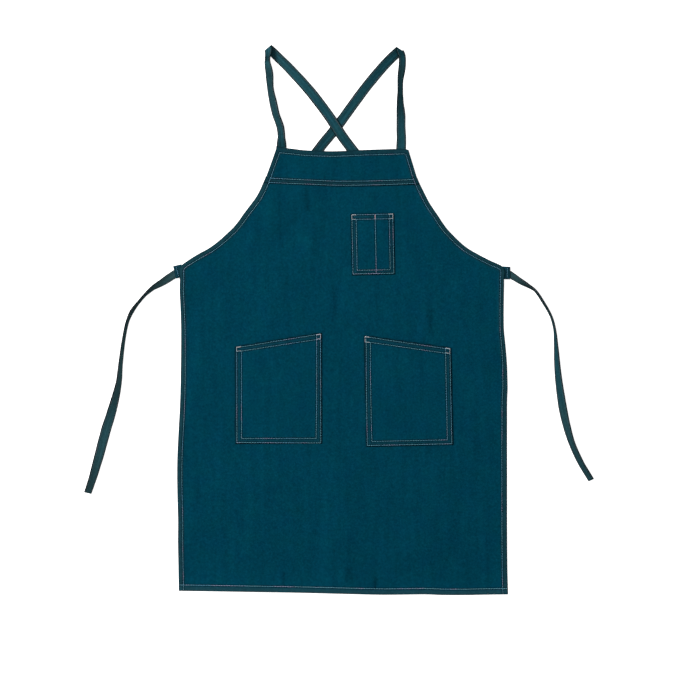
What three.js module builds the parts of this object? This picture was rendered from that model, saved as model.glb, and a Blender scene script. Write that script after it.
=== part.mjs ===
// A cross back work apron of heavy cotton drill, laid flat on its back with its front up.
// Millimetres, +Z up. X runs across the body, +Y towards the bib, and Z = 0 is the surface it lies on.
// The origin is under the middle of the waist line, the height where the armholes meet the sides.
// One continuous strap starts behind each bib corner, bends back at the shoulder, crosses the other
// strap, runs behind the body to the opposite waist loop, passes through it and ends as a waist tie.
import * as THREE from "three";

// Cloth
const clothThickness = 1.2; // one layer
const hemThickness = 2.4; // cloth turned under twice
const hemDepth = 10;
const hemStep = 1.5; // run of the small step where a hem's turned layer ends
const hemFade = 22; // past the hem the cloth comes down to one layer
const gap = 0.4; // between pieces that are sewn or laid on each other

// Body
const waistWidth = 648;
const bibWidth = 266;
const skirtLength = 651; // waist line to hem
const bibHeight = 232; // waist line to the bib's top edge
const bandDepth = 68; // the bib's top band, down to its folded lower edge
const bandLap = 13; // how far the body reaches up behind the band

// Straps
const strapWidth = 20;
const strapThickness = 2;
const strapEnd = 30; // the sewn end behind the band
const bendRadius = 2.6; // of the strap's middle, where it turns back at the shoulder
const crossAbove = 49; // the crossing, above the bib's top edge
const crossOff = -13; // the crossing, off the centre line
const backBow = 6; // how far a back run bows up between shoulder and crossing

// Waist loops, each a doubled strip round the strap with its ends sewn behind the side hem
const loopLength = 22; // along the strap
const loopEase = 1.5; // beside the strap, at each edge
const loopTail = 16;

// Pockets
const rimThickness = 2.2; // pocket edges, turned in once
const hipWidth = 173;
const hipOuterHeight = 195;
const hipInnerHeight = 224;
const hipFullness = 8; // how far the mouth stands open in the middle
const penWidth = 88;
const penHeight = 125;
const penFromCentre = 19;
const penBottom = -16; // below the waist line
const penLean = 1.1; // degrees, turned to the left
const penDivider = 0.545; // share of the width, from the left
const penFullness = 7;

// How fine the cloth is divided
const skirtCell = 27;
const bibCell = 12.5;
const columnsAcross = 28;
const strapStep = 13;
const bendStep = 2.5;
const pocketCells = 8;
const hemCells = 2; // the cells of a turned edge: the hem, and the step where its layer ends

const waistHalf = waistWidth / 2;
const bibHalf = bibWidth / 2;
const bandBottom = bibHeight - bandDepth;
const bodyTop = bandBottom + bandLap;
const crossLevel = 0.85 * strapWidth; // the upper strap stays level this far past the crossing
const crossSettle = 1.2 * strapWidth; // and comes down over this much more
const radians = THREE.MathUtils.degToRad;
const { clamp, lerp, smoothstep } = THREE.MathUtils;

// The side edges below the waist: at is the share of the skirt's length above the hem,
// left and right are shares of half the waist width.
const skirtOutline = [
  { at: 0, left: 1.009, right: 1.014 },
  { at: 0.2, left: 1.018, right: 1.012 },
  { at: 0.39, left: 1.025, right: 1.012 },
  { at: 0.6, left: 1.006, right: 1.012 },
  { at: 0.8, left: 1.0, right: 0.994 },
  { at: 1, left: 1.004, right: 0.994 },
];
// The armholes: at is the share of the bib's height, left and right are shares of the way
// from half the bib's width out to half the waist's.
const armholeOutline = [
  { at: 0, left: 1.01, right: 0.98 },
  { at: 0.08, left: 0.89, right: 0.79 },
  { at: 0.13, left: 0.78, right: 0.675 },
  { at: 0.18, left: 0.675, right: 0.58 },
  { at: 0.235, left: 0.59, right: 0.505 },
  { at: 0.335, left: 0.45, right: 0.385 },
  { at: 0.44, left: 0.345, right: 0.295 },
  { at: 0.545, left: 0.247, right: 0.208 },
  { at: 0.65, left: 0.166, right: 0.142 },
  { at: 0.75, left: 0.112, right: 0.084 },
  { at: 0.855, left: 0.066, right: 0.044 },
  { at: 1, left: 0.004, right: -0.01 },
];
// How the top edge and the hem lie across the body: at is the share of the width from the left,
// rise is a share of the bib's height or of the skirt's length.
const topLay = [
  { at: 0, rise: 0.02 },
  { at: 0.25, rise: 0.003 },
  { at: 0.5, rise: -0.009 },
  { at: 0.8, rise: -0.003 },
  { at: 1, rise: 0.008 },
];
const hemLay = [
  { at: 0, rise: 0.006 },
  { at: 0.35, rise: 0.001 },
  { at: 0.65, rise: -0.005 },
  { at: 1, rise: -0.004 },
];
// Soft folds in the body. x is a share of half the waist width, y a share of the bib's height above
// the waist or of the skirt's length below it. breadth and height are shares of half the waist width.
const folds = [
  { x0: -0.4, y0: 0.56, x1: -0.44, y1: 0.16, breadth: 0.13, height: 0.0075 },
  { x0: -0.2, y0: 0.6, x1: -0.22, y1: 0.1, breadth: 0.14, height: 0.007 },
  { x0: 0.5, y0: -0.08, x1: 0.56, y1: -0.18, breadth: 0.13, height: 0.007 },
  { x0: 0.83, y0: -0.18, x1: 0.93, y1: -0.42, breadth: 0.16, height: 0.009 },
  { x0: -0.9, y0: -0.2, x1: -0.86, y1: -0.44, breadth: 0.15, height: 0.008 },
  { x0: 0.0, y0: -0.66, x1: 0.02, y1: -0.92, breadth: 0.16, height: 0.008 },
  { x0: -0.52, y0: -0.74, x1: -0.54, y1: -0.96, breadth: 0.17, height: 0.007 },
  { x0: 0.55, y0: -0.68, x1: 0.52, y1: -0.95, breadth: 0.18, height: 0.008 },
];

// The two straps. side is the bib corner that a strap starts from, -1 for the left.
// front rows: up is the share of the shoulder's rise, out a share of the strap's width away from the
// strap's seat, roll in degrees with the inner edge up. tie rows: out and down are shares of the
// reach and drop of the free end from the mouth of its loop.
const straps = [
  {
    name: "left",
    side: -1,
    seatInset: 11, // from the bib's corner to the middle of the strap
    shoulderRise: 206,
    shoulderOut: 26.5,
    creaseAngle: 37,
    creaseTilt: 27,
    front: [
      { up: 0, out: 0, roll: 0 },
      { up: 0.04, out: -0.04, roll: 0 },
      { up: 0.13, out: -0.1, roll: 38 },
      { up: 0.23, out: 0.05, roll: 37 },
      { up: 0.34, out: 0.5, roll: 45 },
      { up: 0.49, out: 0.86, roll: 49 },
      { up: 0.66, out: 1.13, roll: 54 },
      { up: 0.83, out: 1.27, roll: 60 },
    ],
    loopOut: 9,
    loopDrop: 15,
    loopTilt: 27,
    tieReach: 165,
    tieDrop: 411,
    tie: [
      { out: 0.125, down: 0.034, roll: 40 },
      { out: 0.252, down: 0.062, roll: 70 },
      { out: 0.32, down: 0.08, roll: 79 },
      { out: 0.41, down: 0.131, roll: 80 },
      { out: 0.512, down: 0.204, roll: 82 },
      { out: 0.556, down: 0.27, roll: 81 },
      { out: 0.57, down: 0.334, roll: 72 },
      { out: 0.596, down: 0.48, roll: 53 },
      { out: 0.652, down: 0.64, roll: 38 },
      { out: 0.71, down: 0.747, roll: 46 },
      { out: 0.77, down: 0.825, roll: 55 },
      { out: 0.87, down: 0.913, roll: 56 },
      { out: 1, down: 1, roll: 58 },
    ],
  },
  {
    name: "right",
    side: 1,
    seatInset: 16,
    shoulderRise: 202,
    shoulderOut: 0,
    creaseAngle: 35,
    creaseTilt: 14,
    front: [
      { up: 0, out: 0, roll: 0 },
      { up: 0.03, out: 0, roll: 0 },
      { up: 0.12, out: 0, roll: 26 },
      { up: 0.23, out: -0.05, roll: 37 },
      { up: 0.35, out: -0.05, roll: 40 },
      { up: 0.47, out: -0.1, roll: 56 },
      { up: 0.58, out: -0.08, roll: 65 },
      { up: 0.7, out: -0.06, roll: 65 },
      { up: 0.84, out: 0.05, roll: 54 },
    ],
    loopOut: 9,
    loopDrop: 9,
    loopTilt: 32,
    tieReach: 176,
    tieDrop: 443,
    tie: [
      { out: 0.156, down: 0.045, roll: 37 },
      { out: 0.256, down: 0.071, roll: 62 },
      { out: 0.347, down: 0.104, roll: 77 },
      { out: 0.421, down: 0.138, roll: 78 },
      { out: 0.497, down: 0.179, roll: 71 },
      { out: 0.547, down: 0.224, roll: 77 },
      { out: 0.588, down: 0.3, roll: 77 },
      { out: 0.629, down: 0.426, roll: 70 },
      { out: 0.648, down: 0.5, roll: 60 },
      { out: 0.732, down: 0.628, roll: 32 },
      { out: 0.802, down: 0.718, roll: 18 },
      { out: 0.872, down: 0.831, roll: 37 },
      { out: 0.939, down: 0.928, roll: 49 },
      { out: 1, down: 1, roll: 48 },
    ],
  },
];
// Between the crossing and the far loop a strap lies flat. x and y are shares of that way.
const hiddenRun = [
  { x: 0.03, y: 0.048 },
  { x: 0.062, y: 0.098 },
  { x: 0.113, y: 0.174 },
  { x: 0.29, y: 0.43 },
  { x: 0.48, y: 0.65 },
  { x: 0.665, y: 0.83 },
  { x: 0.845, y: 0.95 },
];

// The hip pockets. inner is from the centre line to the taller side, bottom is below the waist line,
// lean is in degrees, turned to the left.
const hipPockets = [
  { name: "hip_pocket_left", side: -1, inner: 42.5, bottom: -353, lean: 0.1 },
  { name: "hip_pocket_right", side: 1, inner: 47, bottom: -358, lean: 1.2 },
];

// Reads the columns of a table at any place between its rows, along a smooth curve.
function smoothTable(rows, columns) {
  const places = rows.map((row) => row.at);
  const values = rows.flatMap((row) => columns.map((column) => row[column]));
  const curve = new THREE.CubicInterpolant(places, values, columns.length);
  return (at) => Array.from(curve.evaluate(at));
}
const skirtSides = smoothTable(skirtOutline, ["left", "right"]);
const armholeSides = smoothTable(armholeOutline, ["left", "right"]);
const topRise = smoothTable(topLay, ["rise"]);
const hemRise = smoothTable(hemLay, ["rise"]);

// The body's left and right edge at a height above the waist line.
function sidesAt(y) {
  if (y < 0) {
    const [left, right] = skirtSides(1 + y / skirtLength);
    return [-left * waistHalf, right * waistHalf];
  }
  const [left, right] = armholeSides(Math.min(1, y / bibHeight));
  const flare = waistHalf - bibHalf;
  return [-(bibHalf + left * flare), bibHalf + right * flare];
}

// How much longer a step across is than a step square to the edge, on each side.
function edgeSlant(y) {
  const step = 4;
  const [left, right] = sidesAt(y);
  const [leftNext, rightNext] = sidesAt(y > 0 ? y + step : y - step);
  return [Math.hypot(1, (leftNext - left) / step), Math.hypot(1, (rightNext - right) / step)];
}

// A height that is level out to flat and comes down to nothing past it.
const ridge = (distance, height, flat, fade) =>
  height * (1 - smoothstep(distance, flat, flat + fade));

// A closed piece of cloth: a box of cells, whose corners go where place(column, row, side) says.
// side is 0 on the underside and 1 on top.
function clothGeometry(columns, rows, place) {
  const geometry = new THREE.BoxGeometry(1, 1, 1, columns, rows, 1);
  const corners = geometry.getAttribute("position");
  for (let i = 0; i < corners.count; i += 1) {
    const column = Math.round((corners.getX(i) + 0.5) * columns);
    const row = Math.round((corners.getY(i) + 0.5) * rows);
    const side = Math.round(corners.getZ(i) + 0.5);
    corners.setXYZ(i, ...place(column, row, side).toArray());
  }
  geometry.computeVertexNormals();
  return geometry;
}

// Places from one end to the other, in equal cells.
const inCells = (from, to, cells) =>
  Array.from({ length: cells + 1 }, (_, i) => lerp(from, to, i / cells));
const evenly = (from, to, step) => inCells(from, to, Math.max(1, Math.round((to - from) / step)));

// Places across a piece with a turned edge at both ends.
const turnedIn = (length, cells) => [
  0,
  hemDepth,
  ...inCells(hemDepth + hemStep, length - hemDepth - hemStep, cells),
  length - hemDepth,
  length,
];

// Materials
const drill = new THREE.MeshStandardMaterial({ color: "#013b4e", roughness: 0.92, metalness: 0 });
const tape = new THREE.MeshStandardMaterial({ color: "#0a4152", roughness: 0.9, metalness: 0 });

function named(name, geometry, material) {
  const mesh = new THREE.Mesh(geometry, material);
  mesh.name = name;
  return mesh;
}

// The loop at the far side of a strap: the middle of its mouth, and the way the strap leaves it.
const loopHeight = strapThickness + 2 * gap + 2 * clothThickness;
function loopOf(strap) {
  const side = -strap.side;
  const tilt = radians(strap.loopTilt);
  const edge = sidesAt(-strap.loopDrop)[side < 0 ? 0 : 1];
  const way = new THREE.Vector3(side * Math.cos(tilt), -Math.sin(tilt), 0);
  const mouth = new THREE.Vector3(edge + side * strap.loopOut, -strap.loopDrop, loopHeight / 2);
  return { side, way, mouth, inner: mouth.clone().addScaledVector(way, -loopLength) };
}

// A place on a strap's route, with the direction across its width. inward is +1 where that
// direction lies to the right of the way along, and roll lifts that edge.
function station(x, y, heading, inward, roll, raised = 0) {
  const turn = radians(roll);
  const across = new THREE.Vector3(heading.y, -heading.x, 0)
    .multiplyScalar((inward * Math.cos(turn)) / Math.hypot(heading.x, heading.y))
    .setZ(Math.sin(turn));
  const z = (Math.sin(turn) * strapWidth + Math.cos(turn) * strapThickness) / 2 + raised;
  return { place: new THREE.Vector3(x, y, z), across };
}

// Half a turn round a slanting crease, as a strap makes at the shoulder.
function shoulderBend(strap) {
  const inward = -strap.side;
  const [angle, tilt] = [radians(strap.creaseAngle), radians(strap.creaseTilt)];
  const crease = new THREE.Vector3(inward * Math.cos(angle), Math.sin(angle), 0)
    .multiplyScalar(Math.cos(tilt))
    .setZ(Math.sin(tilt));
  const beyond = new THREE.Vector3(-inward * Math.sin(angle), Math.cos(angle), 0);
  const upward = new THREE.Vector3().crossVectors(crease, beyond).multiplyScalar(inward);
  const lowest = (crease.z * strapWidth) / 2 + upward.z * (bendRadius + strapThickness / 2);
  const corner = sidesAt(bibHeight)[strap.side < 0 ? 0 : 1];
  const middle = new THREE.Vector3(
    corner + strap.side * (strap.shoulderOut - strap.seatInset),
    bibHeight + strap.shoulderRise,
    lowest,
  ).addScaledVector(beyond, -bendRadius - strapThickness / 2);
  return [0, 60, 120, 180].map((degrees) => ({
    place: middle
      .clone()
      .addScaledVector(beyond, bendRadius * Math.sin(radians(degrees)))
      .addScaledVector(upward, bendRadius * Math.cos(radians(degrees))),
    across: crease,
    bend: true,
  }));
}

// Every station of a strap, from its sewn end to the tip of its tie.
function strapStations(strap) {
  const inward = -strap.side;
  const seat = sidesAt(bibHeight)[strap.side < 0 ? 0 : 1] - strap.side * strap.seatInset;
  const upwards = new THREE.Vector2(0, 1);
  const front = strap.front.map((row) =>
    station(
      seat + strap.side * row.out * strapWidth,
      bibHeight + row.up * strap.shoulderRise,
      upwards,
      inward,
      row.roll,
    ),
  );
  const sewn = station(seat, bibHeight - strapEnd, upwards, inward, 0);
  const bend = shoulderBend(strap);

  // The left strap passes over the right one.
  const over = strap.side < 0 ? strapThickness + gap : 0;
  const raisedAt = (distance) => ridge(distance, over, crossLevel, crossSettle);
  const crossing = new THREE.Vector2(crossOff, bibHeight + crossAbove);
  const last = bend[bend.length - 1].place;
  const down = new THREE.Vector2(crossing.x - last.x, crossing.y - last.y);
  const back = [0.12, 0.3, 0.55, 0.8, 0.9, 1].map((share) => {
    const bow = backBow * Math.sin(Math.PI * share);
    const settle = (1 - smoothstep(share, 0, 0.8)) * strap.creaseTilt;
    const length = down.length();
    return station(
      last.x + down.x * share + (inward * bow * -down.y) / length,
      last.y + down.y * share + (inward * bow * down.x) / length,
      down,
      -inward,
      settle,
      raisedAt(length * (1 - share)),
    );
  });

  const loop = loopOf(strap);
  const way = new THREE.Vector2(loop.inner.x - crossing.x, loop.inner.y - crossing.y);
  const hidden = hiddenRun.map((row) => {
    const [x, y] = [way.x * row.x, way.y * row.y];
    const raised = raisedAt(Math.hypot(x, y));
    return station(crossing.x + x, crossing.y + y, way, -inward, 0, raised);
  });
  const inLoop = clothThickness + gap;
  const through = [0.08, 0.5, 1].map((share) => {
    const at = loop.inner.clone().lerp(loop.mouth, share);
    return station(at.x, at.y, loop.way, -inward, 0, inLoop);
  });

  const tiePlaces = strap.tie.map(
    (row) =>
      new THREE.Vector2(
        loop.mouth.x + loop.side * row.out * strap.tieReach,
        loop.mouth.y - row.down * strap.tieDrop,
      ),
  );
  const tie = tiePlaces.map((at, i) => {
    const before = i > 0 ? tiePlaces[i - 1] : loop.mouth;
    const after = tiePlaces[Math.min(i + 1, tiePlaces.length - 1)];
    const heading = new THREE.Vector2(after.x - before.x, after.y - before.y);
    return station(at.x, at.y, heading, -inward, strap.tie[i].roll);
  });
  return [sewn, ...front, ...bend, ...back, ...hidden, ...through, ...tie];
}

// The strap's route, cut into short steps: its middle, and the directions across and off its face.
function strapRoute(strap) {
  const stations = strapStations(strap);
  const line = new THREE.CatmullRomCurve3(
    stations.map((s) => s.place),
    false,
    "centripetal",
  );
  const spans = stations.length - 1;
  const steps = [];
  for (let i = 0; i < spans; i += 1) {
    const [a, b] = [stations[i], stations[i + 1]];
    const size = a.bend || b.bend ? bendStep : strapStep;
    const count = Math.max(1, Math.ceil(a.place.distanceTo(b.place) / size));
    for (let k = i === 0 ? 0 : 1; k <= count; k += 1) {
      const share = k / count;
      const at = (i + share) / spans;
      const middle = line.getPoint(at);
      const along = line.getTangent(at);
      const across = a.across.clone().lerp(b.across, share);
      across.addScaledVector(along, -across.dot(along)).normalize();
      const off = new THREE.Vector3().crossVectors(along, across);
      const reach = (Math.abs(across.z) * strapWidth + Math.abs(off.z) * strapThickness) / 2;
      middle.z = Math.max(middle.z, reach);
      steps.push({ middle, across, off });
    }
  }
  return steps;
}

function strapPiece(strap, route) {
  const columns = 2;
  const geometry = clothGeometry(columns, route.length - 1, (column, row, side) => {
    const { middle, across, off } = route[row];
    return middle
      .clone()
      .addScaledVector(across, -strapWidth * (column / columns - 0.5))
      .addScaledVector(off, strapThickness * (side - 0.5));
  });
  return named(`shoulder_strap_${strap.name}`, geometry, tape);
}

// How far a place in plan is from a line of points.
function distanceTo(points, x, y) {
  let nearest = Infinity;
  for (let i = 1; i < points.length; i += 1) {
    const [a, b] = [points[i - 1], points[i]];
    const [dx, dy] = [b.x - a.x, b.y - a.y];
    const share = clamp(
      ((x - a.x) * dx + (y - a.y) * dy) / (dx * dx + dy * dy || 1),
      0,
      1,
    );
    nearest = Math.min(nearest, Math.hypot(x - a.x - share * dx, y - a.y - share * dy));
  }
  return nearest;
}

const routes = straps.map(strapRoute);
const loops = straps.map(loopOf);

// The stretches of strap that the body and its band lie over.
const coverMargin = strapWidth;
const covered = routes.flatMap((route) => {
  const isUnder = ({ middle: { x, y } }) => {
    const [left, right] = sidesAt(Math.min(y, bibHeight));
    return y < bibHeight + coverMargin && x > left - coverMargin && x < right + coverMargin;
  };
  const stretches = [[]];
  route.forEach((step) => {
    if (isUnder(step)) stretches[stretches.length - 1].push(step.middle);
    else if (stretches[stretches.length - 1].length) stretches.push([]);
  });
  return stretches.filter((points) => points.length > 1);
});

const foldPlace = (x, y) => ({
  x: x * waistHalf,
  y: y * (y > 0 ? bibHeight : skirtLength),
});
const foldLines = folds.map((fold) => ({
  points: [foldPlace(fold.x0, fold.y0), foldPlace(fold.x1, fold.y1)],
  breadth: fold.breadth * waistHalf,
  height: fold.height * waistHalf,
}));

// How high the cloth's underside is held off the surface by what lies under it, and by its folds.
const strapBridge = { flat: strapWidth / 2 + 15, fade: 32 };
const loopBridge = { flat: strapWidth / 2 + loopEase + loopTail + 10, fade: 60 };
function lift(x, y) {
  const overStraps = covered.map((points) =>
    ridge(distanceTo(points, x, y), strapThickness + gap, strapBridge.flat, strapBridge.fade),
  );
  const overLoops = loops.map((loop) =>
    ridge(
      distanceTo([loop.inner, loop.mouth], x, y),
      loopHeight + gap,
      loopBridge.flat,
      loopBridge.fade,
    ),
  );
  const overFolds = foldLines.map((fold) =>
    ridge(distanceTo(fold.points, x, y), fold.height, 0, fold.breadth),
  );
  return Math.max(...overStraps, ...overLoops) + Math.max(...overFolds);
}

// The extra layers at a hem, fading out past it.
const hemLayers = (inside) =>
  (hemThickness - clothThickness) * (1 - smoothstep(inside, hemDepth, hemDepth + hemFade));

// How far a place is inside the body's hemmed edges, square to them.
function insideEdges(x, y) {
  const [left, right] = sidesAt(y);
  const [leftSlant, rightSlant] = edgeSlant(y);
  return Math.min((x - left) / leftSlant, (right - x) / rightSlant);
}

const bodyTopAt = (x, y) =>
  lift(x, y) + clothThickness + hemLayers(Math.min(insideEdges(x, y), y + skirtLength));

// A place across the body: columns at the hem's edge and step, and even ones between.
function bodyX(column, columns, y) {
  const [left, right] = sidesAt(y);
  const [leftSlant, rightSlant] = edgeSlant(y);
  const insets = [0, hemDepth, hemDepth + hemStep];
  const fromRight = columns - column;
  if (column <= hemCells) return left + insets[column] * leftSlant;
  if (fromRight <= hemCells) return right - insets[fromRight] * rightSlant;
  const innerLeft = left + insets[hemCells] * leftSlant;
  const innerRight = right - insets[hemCells] * rightSlant;
  return lerp(innerLeft, innerRight, (column - hemCells) / (columns - 2 * hemCells));
}

// The body and the band share how the cloth's top edge and hem lie.
function layShift(x, y) {
  const [left, right] = sidesAt(y);
  const across = clamp((x - left) / (right - left), 0, 1);
  const high = topRise(across)[0] * bibHeight * smoothstep(y, 0, bandBottom);
  const low = hemRise(across)[0] * skirtLength;
  return high + low * (1 - smoothstep(y, -skirtLength, -skirtLength * 0.7));
}

function apronBody() {
  const rows = [
    -skirtLength,
    -skirtLength + hemDepth,
    ...evenly(-skirtLength + hemDepth + hemStep, 0, skirtCell),
    ...evenly(0, bandBottom, bibCell).slice(1),
    bodyTop,
  ];
  const columns = columnsAcross;
  const geometry = clothGeometry(columns, rows.length - 1, (column, row, side) => {
    const y = rows[row];
    const x = bodyX(column, columns, y);
    const shifted = y + layShift(x, y);
    const top = bodyTopAt(x, y);
    const inHem = Math.min(column, columns - column, row) < hemCells;
    const thickness = inHem ? hemThickness : clothThickness;
    return new THREE.Vector3(x, shifted, side ? top : top - thickness);
  });
  return named("apron_body", geometry, drill);
}

// The band laps over the body's top edge and covers the sewn ends of the straps.
function bibBand() {
  const hemRow = bibHeight - hemDepth;
  const rows = [
    bandBottom,
    bodyTop,
    ...evenly(bodyTop + bandLap, hemRow - hemStep, bibCell),
    hemRow,
    bibHeight,
  ];
  const columns = columnsAcross;
  const geometry = clothGeometry(columns, rows.length - 1, (column, row, side) => {
    const y = rows[row];
    const x = bodyX(column, columns, y);
    const onBody = 1 - smoothstep(y, bodyTop + bandLap * 0.5, bodyTop + 2 * bandLap);
    const overBody = (clothThickness + gap) * onBody;
    const layers = hemLayers(Math.min(insideEdges(x, y), bibHeight - y)) * (1 + onBody);
    const top = lift(x, y) + overBody + clothThickness + layers;
    const inHem = Math.min(column, columns - column, rows.length - 1 - row) < hemCells;
    const thickness = inHem ? hemThickness : clothThickness;
    return new THREE.Vector3(x, y + layShift(x, y), side ? top : top - thickness);
  });
  return named("bib_band", geometry, drill);
}

// A patch pocket: sewn down round three sides on a turned edge, hollow inside, open at the top.
// corner is its lower left corner, heights its left and right side, and bulge(across, up) the
// share of its fullness.
function patchPocket(name, { corner, width, heights, lean, fullness, bulge }) {
  const across = turnedIn(width, pocketCells);
  const columns = across.length - 1;
  const turn = radians(lean);
  const geometry = clothGeometry(columns, columns, (column, row, side) => {
    const u = across[column];
    const sideHeight = lerp(heights[0], heights[1], u / width);
    const v = turnedIn(sideHeight, pocketCells)[row];
    const x = corner.x + u * Math.cos(turn) - v * Math.sin(turn);
    const y = corner.y + v * Math.cos(turn) + u * Math.sin(turn);
    const share = clamp((u - hemDepth) / (width - 2 * hemDepth), 0, 1);
    const shareUp = clamp((v - hemDepth) / (sideHeight - hemDepth), 0, 1);
    const top = bodyTopAt(x, y) + gap + rimThickness + fullness * bulge(share, shareUp);
    const inRim = Math.min(column, columns - column, row, columns - row) < hemCells;
    return new THREE.Vector3(x, y, side ? top : top - (inRim ? rimThickness : clothThickness));
  });
  return named(name, geometry, drill);
}

const hipBulge = (across, up) => Math.sin(Math.PI * across) * up;
const penBulge = (across, up) => {
  const divider = (penDivider * penWidth - hemDepth) / (penWidth - 2 * hemDepth);
  const share = across < divider ? across / divider : (across - divider) / (1 - divider);
  return Math.sqrt(Math.max(0, Math.sin(Math.PI * share)) * up);
};

function hipPocket({ name, side, inner, bottom, lean }) {
  const heights = [hipOuterHeight, hipInnerHeight];
  return patchPocket(name, {
    corner: { x: side < 0 ? -inner - hipWidth : inner, y: bottom },
    width: hipWidth,
    heights: side < 0 ? heights : heights.reverse(),
    lean,
    fullness: hipFullness,
    bulge: hipBulge,
  });
}

const penPocket = () =>
  patchPocket("pen_pocket", {
    corner: { x: penFromCentre, y: penBottom },
    width: penWidth,
    heights: [penHeight, penHeight],
    lean: penLean,
    fullness: penFullness,
    bulge: penBulge,
  });

// A strip folded round the strap, seen along the strap, with its two ends as a flat tail.
function waistLoop(loop) {
  const halfWidth = strapWidth / 2 + loopEase + clothThickness;
  const halfHeight = loopHeight / 2;
  const tailTop = halfHeight;
  const tailBottom = halfHeight - 2 * clothThickness;
  const outline = new THREE.Shape();
  outline.moveTo(-halfWidth + halfHeight, -halfHeight);
  outline.lineTo(halfWidth - clothThickness, -halfHeight);
  outline.lineTo(halfWidth, tailBottom);
  outline.lineTo(halfWidth + loopTail, tailBottom);
  outline.lineTo(halfWidth + loopTail, tailTop);
  outline.lineTo(-halfWidth + halfHeight, tailTop);
  outline.absarc(-halfWidth + halfHeight, 0, halfHeight, Math.PI / 2, (Math.PI * 3) / 2, false);
  const room = halfHeight - clothThickness;
  const bore = new THREE.Path();
  bore.moveTo(-halfWidth + clothThickness + room / 2, -room);
  bore.lineTo(halfWidth - clothThickness, -room);
  bore.lineTo(halfWidth - clothThickness, room);
  bore.lineTo(-halfWidth + clothThickness + room / 2, room);
  bore.lineTo(-halfWidth + clothThickness, room / 2);
  bore.lineTo(-halfWidth + clothThickness, -room / 2);
  outline.holes.push(bore);
  const geometry = new THREE.ExtrudeGeometry(outline, {
    depth: loopLength,
    bevelEnabled: false,
    curveSegments: 6,
  });
  const mesh = named(loop.side < 0 ? "waist_loop_left" : "waist_loop_right", geometry, drill);
  // The shape's X goes towards the body, its Y up and its depth out along the strap.
  const towardsBody = new THREE.Vector3(-loop.side * -loop.way.y, -Math.abs(loop.way.x), 0);
  const up = new THREE.Vector3(0, 0, 1);
  const depth = new THREE.Vector3().crossVectors(towardsBody, up);
  const start = depth.dot(loop.way) > 0 ? loop.inner : loop.mouth;
  mesh.applyMatrix4(new THREE.Matrix4().makeBasis(towardsBody, up, depth).setPosition(start));
  return mesh;
}

const apron = new THREE.Group();
apron.add(apronBody(), bibBand(), penPocket());
apron.add(...hipPockets.map(hipPocket));
apron.add(...loops.map(waistLoop));
apron.add(...straps.map((strap, i) => strapPiece(strap, routes[i])));

export default apron;
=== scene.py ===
# A cross back work apron of cotton drill, laid flat with its front up and seen from straight above.
# Metres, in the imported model's own frame: +X across, +Y towards the bib, Z = 0 is the surface below.
import bisect
import math

import bmesh
import bpy
from mathutils import Matrix, Vector, noise
from mathutils.bvhtree import BVHTree
from mathutils.kdtree import KDTree


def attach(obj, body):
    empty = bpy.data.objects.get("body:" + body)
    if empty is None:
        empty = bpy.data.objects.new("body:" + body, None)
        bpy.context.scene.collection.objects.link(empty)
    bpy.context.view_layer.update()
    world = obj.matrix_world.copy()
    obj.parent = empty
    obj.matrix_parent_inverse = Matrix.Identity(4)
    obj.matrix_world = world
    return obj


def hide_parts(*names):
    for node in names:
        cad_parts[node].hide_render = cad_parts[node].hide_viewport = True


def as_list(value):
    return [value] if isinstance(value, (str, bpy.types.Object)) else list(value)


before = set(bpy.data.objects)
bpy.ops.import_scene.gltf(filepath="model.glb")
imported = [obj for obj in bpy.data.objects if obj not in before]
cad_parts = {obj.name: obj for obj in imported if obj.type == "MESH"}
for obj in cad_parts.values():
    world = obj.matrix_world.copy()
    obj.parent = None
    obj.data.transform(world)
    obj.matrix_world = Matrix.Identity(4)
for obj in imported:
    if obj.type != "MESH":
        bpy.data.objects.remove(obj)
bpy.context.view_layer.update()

mm = 0.001

# Camera and studio
camera = {"centre": (0.014, -0.166), "height": 5.253, "lens": 135}
studio = {
    "skyStrength": 0.6,
    "keyPower": 186,
    "keySize": 1.3,
    "keyPlace": (-2.9, 1.35, 2.8),
    "keyAim": (0, -0.15, 0),
    "floorSize": 15,
    "floorDrop": 0.2 * mm,
    "floorColour": (0.9, 0.9, 0.9, 1),
    "floorGlow": 0.75,  # a lit table, so hardly a shadow shows on it
}


def makeCamera():
    lens = bpy.data.cameras.new("photoCamera")
    lens.lens = camera["lens"]
    lens.sensor_width = 36
    lens.clip_end = 60
    seen = bpy.data.objects.new("photoCamera", lens)
    seen.location = (*camera["centre"], camera["height"])
    bpy.context.collection.objects.link(seen)
    bpy.context.scene.camera = seen


makeCamera()
bpy.context.scene.view_settings.view_transform = "Standard"
print("camera placed")


# Shader maths: a socket that adds and multiplies as a number does
class Signal:
    def __init__(self, finish, socket):
        self.finish = finish
        self.socket = socket

    def maths(self, operation, first, second=0.0):
        return self.finish.node("Math", {"operation": operation}, {0: first, 1: second})

    def __add__(self, other):
        return self.maths("ADD", self, other)

    def __sub__(self, other):
        return self.maths("SUBTRACT", self, other)

    def __rsub__(self, other):
        return self.maths("SUBTRACT", other, self)

    def __mul__(self, other):
        return self.maths("MULTIPLY", self, other)

    __radd__ = __add__

    def wave(self):
        return self.maths("SINE", self)

    def between(self, low, high):  # 0 below low, 1 above high, smooth in between
        limits = {"Value": self, "From Min": low, "From Max": high}
        return self.finish.node("MapRange", {"interpolation_type": "SMOOTHSTEP"}, limits)


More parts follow.
